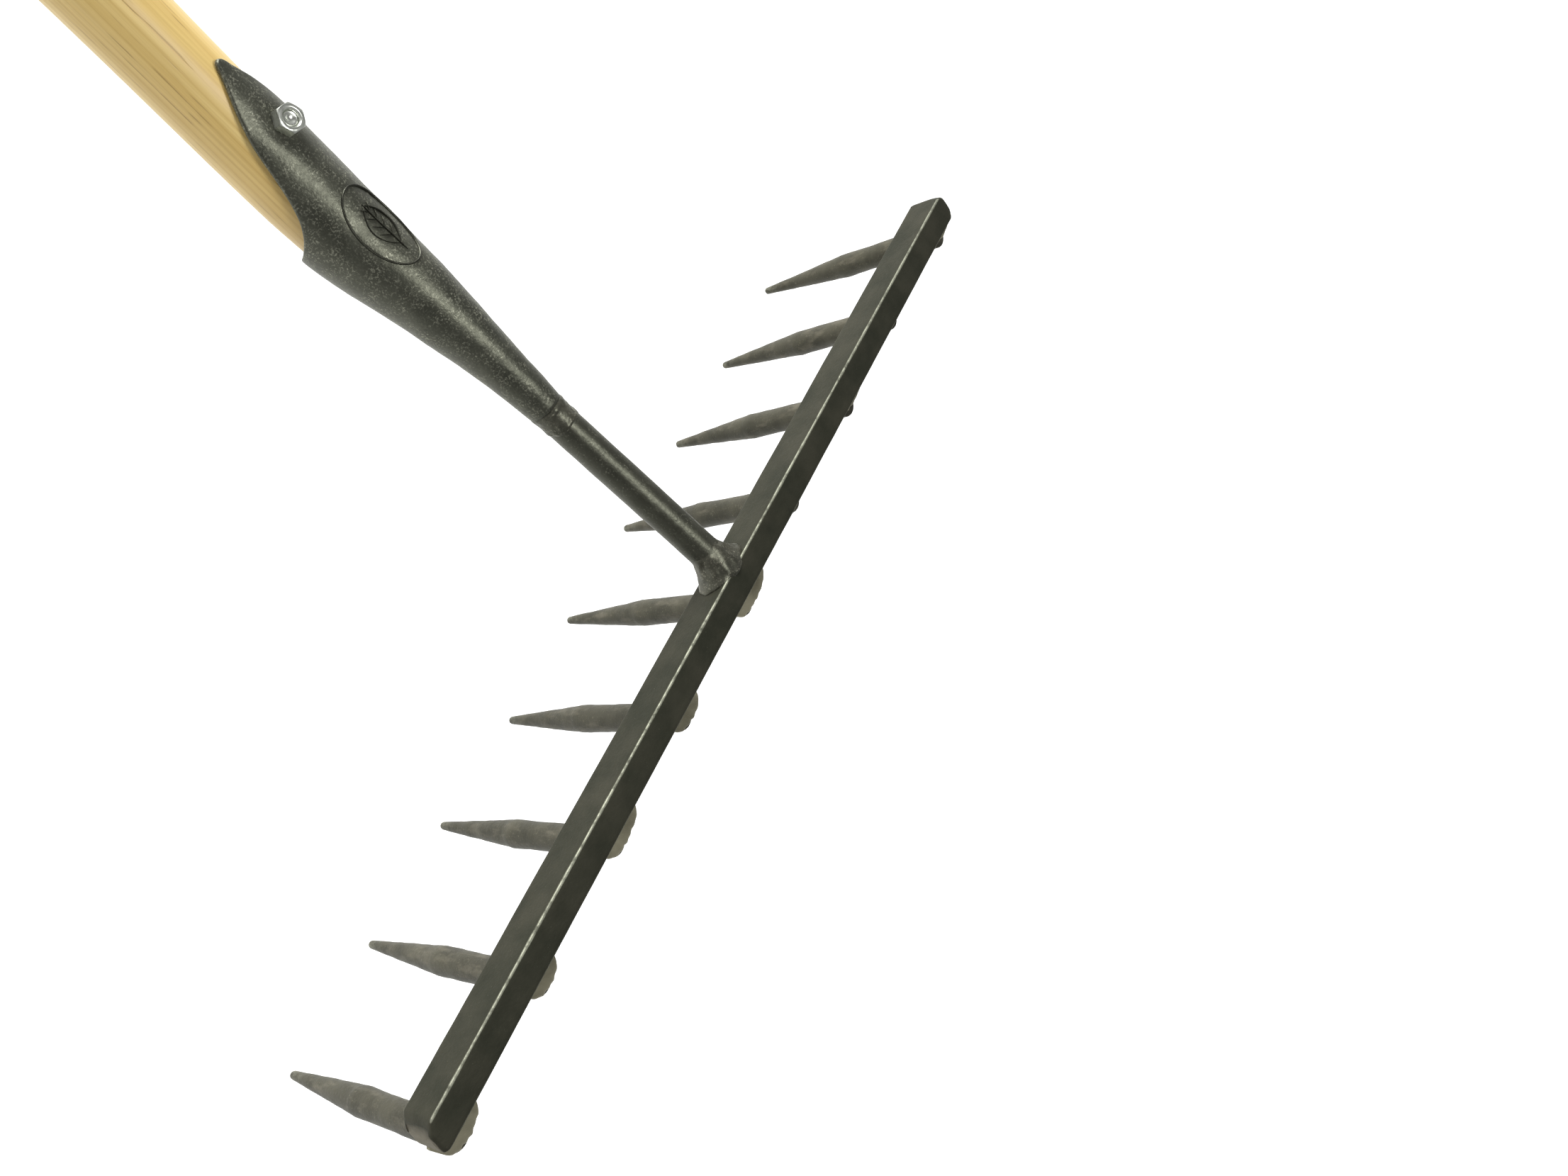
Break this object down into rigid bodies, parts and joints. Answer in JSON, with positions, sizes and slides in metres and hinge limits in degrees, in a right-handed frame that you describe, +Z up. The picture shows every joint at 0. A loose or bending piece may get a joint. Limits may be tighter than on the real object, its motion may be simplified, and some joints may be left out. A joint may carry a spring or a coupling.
{
  "type": "garden rake",
  "caption": "Level head garden rake: round tines welded behind a steel bar, a round shank rod, a sheet metal socket with a tongue and a long wooden handle.",
  "frame": {"origin": "middle of the underside of the head bar", "axes": "+X along the head bar, +Z up away from the tine ends, the handle runs toward -Y"},
  "size_m": [0.4124, 1.6275, 0.1192],
  "materials": {
    "ash_wood": "satin",
    "dark_steel": "matte",
    "socket_steel": "matte",
    "weld_steel": "matte",
    "zinc_steel": "satin"
  },
  "bodies": {
    "root": {"handle": "ash_wood", "socket": "socket_steel", "shank_rod": "socket_steel", "neck_weld": "weld_steel", "head_weld": "weld_steel", "head_bar": "dark_steel", "clamp_bolt": "zinc_steel", "clamp_nut": "zinc_steel", "clamp_washer": "zinc_steel", "tine_1": "dark_steel", "tine_2": "dark_steel", "tine_3": "dark_steel", "tine_4": "dark_steel", "tine_5": "dark_steel", "tine_6": "dark_steel", "tine_7": "dark_steel", "tine_8": "dark_steel", "tine_9": "dark_steel", "tine_weld_1": "weld_steel", "tine_weld_2": "weld_steel", "tine_weld_3": "weld_steel", "tine_weld_4": "weld_steel", "tine_weld_5": "weld_steel", "tine_weld_6": "weld_steel", "tine_weld_7": "weld_steel", "tine_weld_8": "weld_steel", "tine_weld_9": "weld_steel"}
  },
  "joints": []
}
